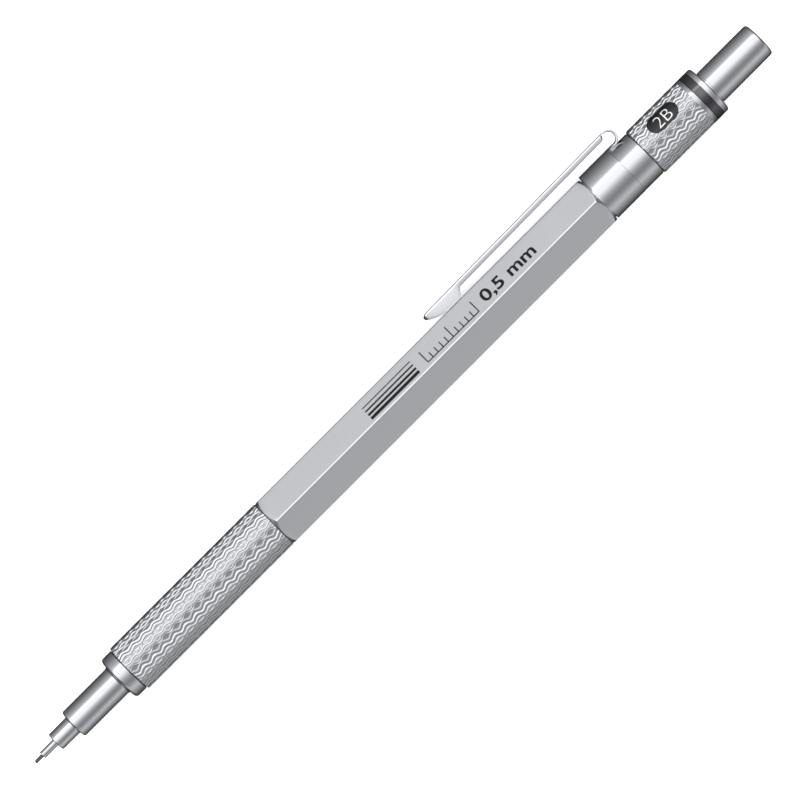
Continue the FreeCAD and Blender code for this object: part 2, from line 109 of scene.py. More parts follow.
def platedMetal(name, colour, roughness, grain, relief, smear=0.05, along=True):
    # plated brass: fine lines left by turning or linishing, and faint handling haze in the gloss
    material, tree, shader, where = newMaterial(name, colour, roughness, 1.0)
    lines = [1 / (size * mm) for size in (grain["long"], grain["wide"], grain["wide"])]
    if not along:
        lines = [1 / (size * mm) for size in (grain["wide"], grain["long"], grain["long"])]
    grainSpace = addNode(tree, "ShaderNodeMapping", None, {"Vector": where, "Scale": lines}).outputs["Vector"]
    fine = addNode(tree, "ShaderNodeTexNoise", None, {"Vector": grainSpace, "Scale": 1.0, "Detail": 3.0})
    patch = [1 / (size * mm) for size in (9, 3, 3)]
    hazeSpace = addNode(tree, "ShaderNodeMapping", None, {"Vector": where, "Scale": patch}).outputs["Vector"]
    haze = addNode(tree, "ShaderNodeTexNoise", None, {"Vector": hazeSpace, "Scale": 1.0, "Detail": 2.0})
    both = addNode(tree, "ShaderNodeMath", {"operation": "MULTIPLY_ADD"},
                   {0: haze.outputs["Fac"], 1: 0.6, 2: fine.outputs["Fac"]})
    gloss = addNode(tree, "ShaderNodeMapRange", None, {"Value": both.outputs["Value"], "From Min": 0.4,
                    "From Max": 1.2, "To Min": roughness - smear, "To Max": roughness + smear})
    tree.links.new(gloss.outputs["Result"], shader.inputs["Roughness"])
    bump = addNode(tree, "ShaderNodeBump", None,
                   {"Height": fine.outputs["Fac"], "Strength": 1.0, "Distance": 0.004 * relief * mm})
    tree.links.new(bump.outputs["Normal"], shader.inputs["Normal"])
    return material


# satin chrome: lines round the part from the lathe, a soft grey mirror with dark edges
turnedChrome = platedMetal("satinChromeTurned", "#d4d5d9", 0.17, {"long": 3.0, "wide": 0.06}, 0.15,
                           along=False)
# satin chrome linished along the flats: an even sheen, with a bright line only along the corners
linishedChrome = platedMetal("satinChromeLinished", "#dfe0e4", 0.3, {"long": 4.0, "wide": 0.06}, 0.08,
                             smear=0.03)
# engraved chrome: cut bright by the tool, so each wave has its own glint
engravedChrome = platedMetal("engravedChrome", "#cbccd0", 0.19, {"long": 0.3, "wide": 0.3}, 6.0)
# polished chrome on spring steel: near mirror, only a trace of polishing haze
polishedChrome = platedMetal("polishedChrome", "#e4e5e9", 0.13, {"long": 5.0, "wide": 0.05}, 0.05, smear=0.03)
# black chrome on the ring: a dark mirror that still shows the lamp as a grey streak
blackChrome = platedMetal("blackChrome", "#646466", 0.05, {"long": 3.0, "wide": 0.06}, 0.05, smear=0.03,
                          along=False)
# drawn stainless tube: thin lines along it
drawnSteel = platedMetal("drawnSteel", "#cfd0d2", 0.2, {"long": 2.0, "wide": 0.04}, 0.15)
# bare turned brass of the works inside: warm yellow, tool lines round it
turnedBrass = platedMetal("turnedBrass", "#d9b668", 0.28, {"long": 3.0, "wide": 0.05}, 0.3, along=False)
# bare turned aluminium: a dull pale grey
turnedAluminium = platedMetal("turnedAluminium", "#cfd1d3", 0.33, {"long": 3.0, "wide": 0.05}, 0.3,
                              along=False)


def moulded(name, colour, roughness, grainSize, relief, **sockets):
    # moulded or cast surface: even colour with a fine grain from the mould
    material, tree, shader, where = newMaterial(name, colour, roughness, 0.0, **sockets)
    space = addNode(tree, "ShaderNodeMapping", None, {"Vector": where, "Scale": [1 / (grainSize * mm)] * 3})
    grain = addNode(tree, "ShaderNodeTexNoise", None,
                    {"Vector": space.outputs["Vector"], "Scale": 1.0, "Detail": 4.0})
    gloss = addNode(tree, "ShaderNodeMapRange", None, {"Value": grain.outputs["Fac"], "From Min": 0.3,
                    "From Max": 0.7, "To Min": roughness * 0.88, "To Max": roughness * 1.12})
    tree.links.new(gloss.outputs["Result"], shader.inputs["Roughness"])
    bump = addNode(tree, "ShaderNodeBump", None,
                   {"Height": grain.outputs["Fac"], "Strength": relief, "Distance": 0.01 * mm})
    tree.links.new(bump.outputs["Normal"], shader.inputs["Normal"])
    return material


# black acetal drum: low sheen
blackAcetal = moulded("blackAcetal", "#19191a", 0.38, 0.08, 0.2, IOR=1.48)
# black nitrile rubber: matt, light-swallowing
nitrileRubber = moulded("nitrileRubber", "#141415", 0.75, 0.06, 0.4, IOR=1.5)
# white vinyl eraser: chalky, slightly soft at the edges
vinylEraser = moulded("vinylEraser", "#dcdcd8", 0.6, 0.1, 0.4, IOR=1.5)
# fired clay and graphite: dark grey with a metal-like glint of crystals
graphite = moulded("graphite", "#4a4a4c", 0.42, 0.05, 0.6, Metallic=0.35)
# pad-printed inks, a thin even film
blackInk = moulded("blackPrintingInk", "#0c0c0d", 0.6, 0.1, 0.1, IOR=1.35)
whiteInk = moulded("whitePrintingInk", "#d2d2d0", 0.45, 0.1, 0.1, IOR=1.5)
print("materials made")


def makeObject(name, verts, faces, material, body, nodes, smooth=True):
    mesh = bpy.data.meshes.new(name)
    mesh.from_pydata([tuple(c * mm for c in v) for v in verts], [], faces)
    mesh.validate()
    if smooth:
        mesh.polygons.foreach_set("use_smooth", [True] * len(mesh.polygons))
    mesh.materials.append(material)
    piece = bpy.data.objects.new(name, mesh)
    bpy.context.scene.collection.objects.link(piece)
    if body:
        finishPiece(piece, body, nodes)
    return piece


def finishPiece(piece, body, nodes):
    bpy.context.view_layer.update()
    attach(piece, body)
    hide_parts(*nodes)


def rounded(profile, sizes):
    # rounds the corners of an (x, r) outline; sizes gives a radius for each corner
    result = []
    count = len(profile)
    for index, (point, size) in enumerate(zip(profile, sizes)):
        here = Vector(point)
        before, after = Vector(profile[index - 1]), Vector(profile[(index + 1) % count])
        if size <= 0:
            result.append((here.x, here.y))
            continue
        inward, outward = (before - here), (after - here)
        size = min(size, inward.length * 0.49, outward.length * 0.49)
        start, end = here + inward.normalized() * size, here + outward.normalized() * size
        steps = 5
        for step in range(steps + 1):
            t = step / steps
            p = start * (1 - t) ** 2 + here * 2 * t * (1 - t) + end * t * t
            result.append((p.x, p.y))
    return result


def lathe(name, profile, material, body, nodes, segments=192, corners=0.06):
    # closed outline of (x, r) in mm, turned about the x axis
    sizes = corners if isinstance(corners, list) else [corners] * len(profile)
    outline = rounded(profile, sizes)
    verts, faces, rings = [], [], []
    for x, r in outline:
        if r < 1e-6:
            rings.append([len(verts)])
            verts.append((x, 0, 0))
            continue
        rings.append(list(range(len(verts), len(verts) + segments)))
        for k in range(segments):
            a = 2 * math.pi * k / segments
            verts.append((x, r * math.sin(a), r * math.cos(a)))
    for index in range(len(rings)):
        one, two = rings[index], rings[(index + 1) % len(rings)]
        for k in range(segments):
            after = (k + 1) % segments
            if len(one) == 1 and len(two) == 1:
                continue
            if len(one) == 1:
                faces.append((one[0], two[after], two[k]))
            elif len(two) == 1:
                faces.append((one[k], one[after], two[0]))
            else:
                faces.append((one[k], one[after], two[after], two[k]))
    return keepEdges(makeObject(name, verts, faces, material, body, nodes))


def keepEdges(piece, angle=32):  # smooth shading that stops at sharp corners
    mesh = piece.data
    work = bmesh.new()
    work.from_mesh(mesh)
    bmesh.ops.recalc_face_normals(work, faces=work.faces)
    for edge in work.edges:
        edge.smooth = len(edge.link_faces) == 2 and edge.calc_face_angle(0) < math.radians(angle)
    work.to_mesh(mesh)
    work.free()
    return piece


tip = dict(noseLength=3.5, noseRadius=1.46, stemLength=8.95, stemRadius=2.32, collarLength=2.0,
           sleeveRadius=0.575, ringSeat=1.31, chamberRadius=1.55, clutchTravel=1.03, boreRadius=1.8,
           neckRadius=2.17, neckLength=0.6, threadRadius=2.36, threadFrom=1.1, threadDepth=0.18,
           threadPitch=0.5, threadCount=8)


def threadTeeth(start, pitch, count, radius, depth):  # outline points of a row of grooves
    points = []
    for index in range(count):
        x = start + pitch * index
        points += [(x - pitch * 0.4, radius), (x, radius - depth), (x + pitch * 0.4, radius)]
    return points


def makeTip():
    low, high = span("tip_cone")
    front, back, collarRadius = low[0], high[0], high[1]
    stem = front + tip["noseLength"]
    collar = stem + tip["stemLength"]
    seam = collar + tip["collarLength"]
    shoulder = span("clutch_ring")[0][0] - tip["clutchTravel"]
    ringStart, ringEnd = span("lead_retainer")[0][0] - 0.05, span("lead_retainer")[1][0] + 0.02
    teeth = threadTeeth(seam + tip["threadFrom"], tip["threadPitch"], tip["threadCount"],
                        tip["threadRadius"], tip["threadDepth"])
    neck = seam + tip["neckLength"]
    outline = [(front, tip["sleeveRadius"]), (front, tip["noseRadius"]), (stem, tip["noseRadius"]),
               (stem, tip["stemRadius"]), (collar, tip["stemRadius"]), (collar, collarRadius),
               (seam, collarRadius), (seam, tip["neckRadius"]), (neck, tip["neckRadius"]),
               (neck, tip["threadRadius"])] + teeth + [
               (back, tip["threadRadius"]), (back, tip["boreRadius"]), (shoulder, tip["boreRadius"]),
               (shoulder, tip["chamberRadius"]), (ringEnd, tip["chamberRadius"]), (ringEnd, tip["ringSeat"]),
               (ringStart, tip["ringSeat"]), (ringStart, tip["sleeveRadius"])]
    corners = [0.02, 0.26, 0.3, 0.34, 0.5, 0.62, 0.12, 0.04, 0.02, 0.02]
    corners += [0.03] * len(teeth) + [0.1] + [0.02] * 7
    lathe("steppedTip", outline, turnedChrome, "tip_group", ["tip_cone"],
          corners=corners)


sleeveTube = dict(bore=0.31, rimWall=0.06, flareLength=0.6)


def makeLeadSleeve():
    low, high = span("lead_sleeve")
    radius, bore = high[1], sleeveTube["bore"]
    outline = [(low[0], bore), (low[0], radius), (high[0], radius),
               (high[0], radius - sleeveTube["rimWall"]), (high[0] - sleeveTube["flareLength"], bore)]
    lathe("leadSleeve", outline, drawnSteel, "tip_group", ["lead_sleeve"], segments=96,
          corners=[0.04, 0.09, 0.02, 0.01, 0.02])


leadRod = dict(segments=64, chip=0.02, slope=0.09, slopeLength=0.5, slopeTurn=2.2)


def makeLead():
    low, high = span("lead")
    radius, segments = high[1], leadRod["segments"]
    # the front end is worn to a slight slope and its rim is crumbled
    random = np.random.default_rng(7)
    rings = [(0.0, 0.0), (0.0, 0.55), (0.01, 0.86), (0.045, 0.97), (0.12, 1.0), (0.5, 1.0), (1.4, 1.0)]
    rings += [(4.0 + 8.0 * k, 1.0) for k in range(7)]
    rings += [(high[0] - low[0] - 0.03, 1.0), (high[0] - low[0], 0.9)]
    verts, faces = [], []
    for index, (along, share) in enumerate(rings):
        for k in range(segments):
            a = 2 * math.pi * k / segments
            chip = random.uniform(0, leadRod["chip"]) if 0 < index < 5 else 0
            worn = max(0, 1 - along / leadRod["slopeLength"])
            slope = leadRod["slope"] * (1 + math.cos(a - leadRod["slopeTurn"])) * worn
            r = radius * share - chip * share * (1 if share > 0.8 else 0)
            verts.append((low[0] + along + slope + chip * 0.5, r * math.sin(a), r * math.cos(a)))
    for index in range(len(rings) - 1):
        for k in range(segments):
            n = (k + 1) % segments
            one, two = index * segments, (index + 1) * segments
            faces.append((one + k, one + n, two + n, two + k))
    last = (len(rings) - 1) * segments
    faces.append(tuple(last + k for k in range(segments)))
    piece = makeObject("lead", verts, faces, graphite, None, None)
    work = bmesh.new()
    work.from_mesh(piece.data)
    bmesh.ops.remove_doubles(work, verts=work.verts, dist=1e-7)
    work.to_mesh(piece.data)
    work.free()
    finishPiece(keepEdges(piece, 50), "lead_stick", ["lead"])


returnSpring = dict(wire=0.34, turns=9, closePitch=0.36, stepsPerTurn=40, wireSides=12, stroke=4.0)


def makeReturnSpring():
    # round wire wound as a helix whose end coils lie close together; it is built at one length and does not
    # shorten with the button
    low, high = span("return_spring")
    wire, turns, sides = returnSpring["wire"] / 2, returnSpring["turns"], returnSpring["wireSides"]
    radius, first, last = high[1] - wire, low[0] + wire, high[0] - wire
    close, perTurn = returnSpring["closePitch"], returnSpring["stepsPerTurn"]
    pitch = (last - first - 2 * close) / (turns - 2)
    verts, faces = [], []
    for step in range(turns * perTurn + 1):
        turn = step / perTurn
        x = (first + close * min(turn, 1) + pitch * min(max(turn - 1, 0), turns - 2)
             + close * max(turn - turns + 1, 0))
        a = 2 * math.pi * turn
        for k in range(sides):
            b = 2 * math.pi * k / sides
            r = radius + wire * math.cos(b)
            verts.append((x + wire * math.sin(b), r * math.sin(a), r * math.cos(a)))
    for step in range(turns * perTurn):
        one, two = step * sides, (step + 1) * sides
        faces += [(one + k, one + (k + 1) % sides, two + (k + 1) % sides, two + k) for k in range(sides)]
    end = turns * perTurn * sides
    faces += [tuple(range(sides))[::-1], tuple(end + k for k in range(sides))]
    coil = keepEdges(makeObject("returnSpring", verts, faces, drawnSteel, None, None), 50)
    finishPiece(coil, "barrel_group", ["return_spring"])
    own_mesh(coil)


makeTip()
makeLeadSleeve()
makeLead()
makeReturnSpring()
print("tip, lead and return spring made")


# wave lines along the sleeve: place of each line round the sleeve in mm within a block 5.83 mm wide,
# which way it swings first, how far it swings, its width down to the cut floor on the side away from
# the clip and on the clip's side, and its height
engraving = dict(radius=3.97, depth=0.185, frontBlock=5.83, blocks=4, segments=480,
                 lines=[(-2.93, -1, 0.13, 0.2, 0.16, 0.35), (-2.53, 1, 0.15, 0.17, 0.22, 0.95),
                        (-2.16, -1, 0.19, 0.18, 0.25, 1.0), (-1.52, -1, 0.2, 0.2, 0.26, 1.0),
                        (-0.86, -1, 0.19, 0.2, 0.16, 0.35), (-0.32, 1, 0.2, 0.12, 0.12, 0.5),
                        (0.08, 1, 0.26, 0.12, 0.12, 0.68), (0.42, -1, 0.15, 0.95, 0.2, 0.66),
                        (1.05, -1, 0.15, 0.2, 0.2, 0.35), (1.4, 1, 0.16, 0.2, 0.2, 0.55),
                        (1.95, 1, 0.2, 0.3, 0.16, 0.42), (2.5, 1, 0.17, 0.3, 0.14, 0.45)])


def engravedHeight(theta, x, start, period, phase):
    # 1 on a land, 0 on the cut floor between lands
    height = np.zeros(np.broadcast(theta, x).shape)
    wave = np.sin(2 * math.pi * ((x - start) / period - phase + 0.25))
    front, count = engraving["frontBlock"], engraving["blocks"]
    around = 2 * math.pi * engraving["radius"]
    other = (around - front) / (count - 1)  # the blocks behind are a little wider, to close the circle
    for turn in range(count):
        middle = 0 if turn == 0 else front / 2 + other * (turn - 0.5)
        scale = 1 if turn == 0 else other / front
        for place, way, swing, behind, before, tall in engraving["lines"]:
            centre = (middle + place * scale + way * swing * wave) / engraving["radius"]
            away = (theta - centre + math.pi) % (2 * math.pi) - math.pi
            share = np.clip(np.abs(away) * engraving["radius"] / np.where(away > 0, before, behind), 0, 1)
            height = np.maximum(height, tall * (1 - 0.55 * share - 0.45 * share * share * (3 - 2 * share)))
    return height


def engravedTube(name, low, high, period, phase, bore, columns, bevels, land, material):
    # closed tube whose outside carries the engraving; bevels and land are lengths in mm
    start, end, radius = low[0], high[0], high[1]
    segments = engraving["segments"]
    xs = np.linspace(start, end - land, columns)
    theta = np.linspace(0, 2 * math.pi, segments, endpoint=False)
    height = engravedHeight(theta[None, :], xs[:, None], start, period, phase)
    if land:  # plain ring behind the engraving
        xs = np.append(xs, [end - land + 0.02, end - 0.05, end])
        height = np.vstack([height, np.full((3, segments), 1.0)])
    r = radius - engraving["depth"] * (1 - height)
    if land:
        r[-3:] = radius - 0.06
        r[-1] -= 0.05
    for side, bevel in ((start, bevels[0]), (end, bevels[1])):
        if bevel:
            inset = np.clip(1 - np.abs(xs - side) / bevel, 0, 1) * bevel
            r = np.minimum(r, radius - inset[:, None])
    rows = [np.stack([np.full(segments, x), ring * np.sin(theta), ring * np.cos(theta)], 1)
            for x, ring in zip(xs, r)]
    for x in (end, start):
        rows.append(np.stack([np.full(segments, x), bore * np.sin(theta), bore * np.cos(theta)], 1))
    verts = np.concatenate(rows)
    count = len(rows)
    k = np.arange(segments)
    n = (k + 1) % segments
    faces = []
    for index in range(count):
        one, two = index * segments, ((index + 1) % count) * segments
        faces.append(np.stack([one + k, one + n, two + n, two + k], 1))
    piece = makeObject(name, verts.tolist(), np.concatenate(faces).tolist(), material, None, None)
    return keepEdges(piece, 60)


grip = dict(wave=2.055, phase=0.4, columns=200, bore=3.0, bevel=0.16)
low, high = span("grip_sleeve")
piece = engravedTube("gripSleeve", low, high, grip["wave"], grip["phase"], grip["bore"],
                     grip["columns"], (grip["bevel"], grip["bevel"]), 0, engravedChrome)
finishPiece(piece, "barrel_group", ["grip_sleeve"])
print("grip made")


grade = dict(period=1.85, phase=0.3, columns=84, bore=3.55, bevel=0.25, land=0.7, windowTurn=27.8,
             windowLength=5.3, windowWidth=2.87, windowAt=5.0, markHeight=1.9, markWeight=-0.018,
             drumBore=3.2, inkLift=0.012,
             marks=["2B", "B", "HB", "F", "H", "2H", "3H", "4H"])


def windowCutter(x, turnDegrees, length, width, depth):
    # straight-sided block with round ends, standing out from the axis
    steps = 24
    half, straight = width / 2, (length - width) / 2
    ring = []
    for end in (1, -1):
        for step in range(steps + 1):
            a = math.radians(-90 + 180 * step / steps)
            ring.append((x + end * (straight + half * math.cos(a)), end * half * math.sin(a)))
    turn = math.radians(turnDegrees)
    verts = []
    for height in (2.0, depth):
        for along, side in ring:
            verts.append((along, side * math.cos(turn) + height * math.sin(turn),
                          height * math.cos(turn) - side * math.sin(turn)))
    count = len(ring)
    faces = [tuple(range(count))[::-1], tuple(range(count, 2 * count))]
    faces += [(k, (k + 1) % count, count + (k + 1) % count, count + k) for k in range(count)]
    return makeObject("windowCutter", verts, faces, blackAcetal, None, None, smooth=False)


def cutAway(piece, cutter):
    bpy.context.view_layer.update()
    modifier = piece.modifiers.new("cut", "BOOLEAN")
    modifier.object, modifier.operation, modifier.solver = cutter, "DIFFERENCE", "EXACT"
    shaped = bpy.data.meshes.new_from_object(piece.evaluated_get(bpy.context.evaluated_depsgraph_get()))
    piece.modifiers.clear()
    old = piece.data
    piece.data = shaped
    bpy.data.meshes.remove(old)
    bpy.data.objects.remove(cutter)
    return piece


def makeGradeSleeve():
    low, high = span("grade_sleeve")
    high[1] = -low[1]  # the box is only even on the side without the window
    sleeve = engravedTube("gradeSleeve", low, high, grade["period"], grade["phase"], grade["bore"],
                          grade["columns"], (grade["bevel"], 0), grade["land"], engravedChrome)
    cutter = windowCutter(low[0] + grade["windowAt"], grade["windowTurn"], grade["windowLength"],
                          grade["windowWidth"], high[1] + 2)
    cutAway(sleeve, cutter)
    finishPiece(keepEdges(sleeve, 50), "grade_group", ["grade_sleeve"])
    return low[0] + grade["windowAt"]


def textMesh(words, height, weight=0.0):
    # flat lettering, centred, as a mesh in mm; capitals are `height` tall
    curve = bpy.data.curves.new("marking", "FONT")
    curve.body, curve.size, curve.offset = words, 1.0, weight
    curve.align_x, curve.align_y = "CENTER", "CENTER"
    holder = bpy.data.objects.new("marking", curve)
    bpy.context.scene.collection.objects.link(holder)
    bpy.context.view_layer.update()
    mesh = bpy.data.meshes.new_from_object(holder.evaluated_get(bpy.context.evaluated_depsgraph_get()))
    bpy.data.objects.remove(holder)
    work = bmesh.new()
    work.from_mesh(mesh)
    bmesh.ops.triangulate(work, faces=work.faces)
    for _ in range(2):
        long = [e for e in work.edges if e.calc_length() > 0.12]
        bmesh.ops.subdivide_edges(work, edges=long, cuts=1)
        bmesh.ops.triangulate(work, faces=work.faces)
    verts = [(v.co.x, v.co.y) for v in work.verts]
    faces = [[v.index for v in f.verts] for f in work.faces]
    work.free()
    tall = max(v[1] for v in verts) - min(v[1] for v in verts)
    scale = height / tall
    return [(x * scale, y * scale) for x, y in verts], faces


def makeDrum(windowX):
    low, high = span("grade_drum")
    radius = -low[1]
    bore, inked = grade["drumBore"], radius + grade["inkLift"]
    outline = [(low[0], bore), (low[0], radius), (high[0], radius), (high[0], bore)]
    lathe("gradeDrum", outline, blackAcetal, "barrel_group", ["grade_drum"])
    verts, faces = [], []
    for index, words in enumerate(grade["marks"]):
        flat, cells = textMesh(words, grade["markHeight"], grade["markWeight"])
        first = len(verts)
        for x, y in flat:
            a = math.radians(grade["windowTurn"] - index * 360 / len(grade["marks"])) + y / radius
            verts.append((windowX + x, inked * math.sin(a), inked * math.cos(a)))
        faces += [[first + v for v in cell] for cell in cells]
    makeObject("gradeMarks", verts, faces, whiteInk, "barrel_group", [])


windowX = makeGradeSleeve()
makeDrum(windowX)
print("grade sleeve and drum made")


barrelShape = dict(flat=3.85, edgeRound=0.31, faceRadius=3.8, coneSlope=50, bore=3.0, bevel=0.05)


def hexAngles(flatSteps=10, edgeSteps=6):
    # angles round the barrel, close together where a corner turns
    f, e = barrelShape["flat"], barrelShape["edgeRound"]
    side = math.degrees(math.atan((f - e) * math.tan(math.radians(30)) / f))
    angles = []
    for corner in range(0, 360, 60):
        angles += [corner - (30 - side) + (60 - 2 * side) * k / edgeSteps for k in range(edgeSteps)]
        angles += [corner + (30 - side) + 2 * side * k / flatSteps for k in range(flatSteps)]
    return angles, side


def hexRadius(degrees, side):
    f, e = barrelShape["flat"], barrelShape["edgeRound"]
    fromCorner = (degrees + 30) % 60 - 30
    if abs(fromCorner) >= 30 - side - 1e-9:
        return f / math.cos(math.radians(30 - abs(fromCorner)))
    centre = (f - e) / math.cos(math.radians(30))
    a = math.radians(fromCorner)
    return centre * math.cos(a) + math.sqrt(e * e - (centre * math.sin(a)) ** 2)


def makeBarrel():
    low, high = span("barrel")
    angles, side = hexAngles()
    slope = math.tan(math.radians(barrelShape["coneSlope"]))
    face, bore = barrelShape["faceRadius"], barrelShape["bore"]
    rings = []
    for ring in range(12):
        row = []
        for degrees in angles:
            r = hexRadius(degrees, side)
            reach = (r - face) / slope
            x, radius = {0: (low[0], bore), 1: (low[0], face - 0.03), 2: (low[0] + 0.02, face),
                         3: (low[0] + reach + 0.02, r), 4: (low[0] + 1.0, r), 5: (low[0] + 20, r),
                         6: (high[0] - 20, r), 7: (high[0] - 1.0, r), 8: (high[0] - reach - 0.02, r),
                         9: (high[0] - 0.02, face), 10: (high[0], face - 0.03), 11: (high[0], bore)}[ring]
            a = math.radians(degrees)
            row.append((x, radius * math.sin(a), radius * math.cos(a)))
        rings.append(row)
    count = len(angles)
    verts = [point for row in rings for point in row]
    faces = []
    for index in range(len(rings)):
        one, two = index * count, ((index + 1) % len(rings)) * count
        faces += [(one + k, one + (k + 1) % count, two + (k + 1) % count, two + k) for k in range(count)]
    piece = makeObject("barrel", verts, faces, linishedChrome, None, None)
    bevel = piece.modifiers.new("softEdges", "BEVEL")
    bevel.width, bevel.segments = barrelShape["bevel"] * mm, 2
    bevel.limit_method, bevel.angle_limit = "ANGLE", math.radians(14)
    weighted = piece.modifiers.new("evenShading", "WEIGHTED_NORMAL")
    weighted.keep_sharp = False
    finishPiece(piece, "barrel_group", ["barrel"])


# printed on the flat beside the clip: a gauge of four line weights, a millimetre scale, the lead size
barrelPrint = dict(gaugeAt=65.9, gaugeLength=9.4, weights=[0.5, 0.36, 0.25, 0.16], gaugeStep=0.72,
                   gaugeLow=-1.35, scaleAt=77.0, scaleSteps=10, tickWide=0.17, tickShort=1.0,
                   tickLong=2.1, scaleLow=-1.45, words="0,5 mm", wordsFrom=88.6, wordsTo=98.7,
                   wordsHeight=2.34, wordsWeight=0.02, wordsUp=-0.32, lift=0.012)


def makePrint():
    verts, faces = [], []

    def addBar(x0, x1, y0, y1):
        first = len(verts)
        verts.extend([(x0, y0), (x1, y0), (x1, y1), (x0, y1)])
        faces.append([first, first + 1, first + 2, first + 3])

    sizes = barrelPrint
    for index, weight in enumerate(sizes["weights"]):
        y = sizes["gaugeLow"] + index * sizes["gaugeStep"]
        addBar(sizes["gaugeAt"], sizes["gaugeAt"] + sizes["gaugeLength"], y - weight / 2, y + weight / 2)
    wide = sizes["tickWide"]
    base = sizes["scaleLow"]
    addBar(sizes["scaleAt"], sizes["scaleAt"] + sizes["scaleSteps"] + wide, base, base + wide)
    for index in range(sizes["scaleSteps"] + 1):
        tall = sizes["tickLong"] if index % 5 == 0 or index == sizes["scaleSteps"] else sizes["tickShort"]
        x = sizes["scaleAt"] + index
        addBar(x, x + wide, base + wide, base + wide + tall)
    flat, cells = textMesh(sizes["words"], sizes["wordsHeight"], sizes["wordsWeight"])
    wordsLow, wordsHigh = min(v[0] for v in flat), max(v[0] for v in flat)
    stretch = (sizes["wordsTo"] - sizes["wordsFrom"]) / (wordsHigh - wordsLow)
    first = len(verts)
    verts.extend([(sizes["wordsFrom"] + (x - wordsLow) * stretch, y + sizes["wordsUp"]) for x, y in flat])
    faces.extend([[first + v for v in cell] for cell in cells])
    tilt = math.radians(30)
    out = barrelShape["flat"] + sizes["lift"]
    placed = [(x, out * math.sin(tilt) + y * math.cos(tilt), out * math.cos(tilt) - y * math.sin(tilt))
              for x, y in verts]
    makeObject("barrelPrint", placed, faces, blackInk, "barrel_group", [])


makeBarrel()
makePrint()
print("barrel made")


ferrule = dict(threadRadius=2.97, threadFrom=1.3, threadPitch=0.6, threadCount=8, threadDepth=0.2,
               coreBore=2.1, seat=3.45, seatAhead=0.35, plainLength=3.6, spigot=3.2, spigotBore=2.8,
               boreChange=19.5)


def makeFerrule():
    low, high = span("rear_ferrule")
    bandLow, bandHigh = span("clip_ring")
    sleeveLow = span("grade_sleeve")[0]
    spigotEnd, plainEnd = high[0], sleeveLow[0] - 0.1
    plainStart, radius = plainEnd - ferrule["plainLength"], high[1]
    thread, core, seat = ferrule["threadRadius"], ferrule["coreBore"], ferrule["seat"]
    spigot, bore = ferrule["spigot"], ferrule["spigotBore"]
    seatStart, change = bandLow[0] - ferrule["seatAhead"], low[0] + ferrule["boreChange"]
    teeth = threadTeeth(low[0] + ferrule["threadFrom"], ferrule["threadPitch"], ferrule["threadCount"],
                        thread, ferrule["threadDepth"])
    outline = [(low[0], core), (low[0], thread)] + teeth + [
        (seatStart, thread), (seatStart, seat), (plainStart, seat), (plainStart, radius),
        (plainEnd, radius), (plainEnd, spigot), (spigotEnd, spigot), (spigotEnd, bore),
        (change, bore), (change, core)]
    corners = [0.05, 0.1] + [0.03] * len(teeth)
    corners += [0.03, 0.05, 0.03, 0.1, 0.1, 0.05, 0.05, 0.05, 0.02, 0.02]
    lathe("rearFerrule", outline, turnedChrome, "barrel_group", ["rear_ferrule"],
          corners=corners)


clip = dict(sheet=0.32, width=3.0, neckWidth=2.4, flange=0.9, loopHeight=5.05, loopRadius=1.25,
            armSplit=0.12, tipDrop=0.4, lipRise=1.28, lipEase=2.4, lipFrom=4.2, lipTo=5.55, lipEnd=6.9,
            bandLength=5.35, bandRadius=3.965, bandShift=0.165, bandBore=3.46, flareFrom=40, neckFrom=18,
            flareReach=1.0, rimBevel=0.1)


def channelRing(half, lower, depth, sheet):
    # cross-section of a folded channel, as (across, down) pairs going round it
    fold = min(0.28, half * 0.4)
    points = []
    for step in range(5):
        a = math.radians(90 * step / 4)
        points.append((half - fold + fold * math.sin(a), fold - fold * math.cos(a)))
    points += [(half - (half - lower) * 0.1, fold + (depth - fold) * 0.12),
               (half - (half - lower) * 0.7, depth - 0.12 * depth),
               (lower, depth - 0.05), (lower - 0.04, depth)]
    points += [(lower - sheet + 0.04, depth), (lower - sheet, depth - 0.05)]
    points += [(half - sheet - (half - lower) * 0.5, max(depth * 0.6, sheet)), (half - sheet, sheet + 0.12),
               (half - sheet - 0.12, sheet)]
    return points + [(-across, down) for across, down in reversed(points)]


def sweep(name, stations, material):
    # stations: (x, y, normalX, normalY, ring) along a path in the plane of the clip
    verts, faces = [], []
    for x, y, nx, ny, ring in stations:
        verts += [(x - nx * down, y - ny * down, across) for across, down in ring]
    count = len(stations[0][4])
    for index in range(len(stations) - 1):
        one, two = index * count, (index + 1) * count
        faces += [(one + k, one + (k + 1) % count, two + (k + 1) % count, two + k) for k in range(count)]
    faces.append(tuple(range(count)))
    faces.append(tuple((len(stations) - 1) * count + k for k in range(count))[::-1])
    return makeObject(name, verts, faces, material, None, None)


def smoothStep(value, start, end):
    share = min(1, max(0, (value - start) / (end - start)))
    return share * share * (3 - 2 * share)


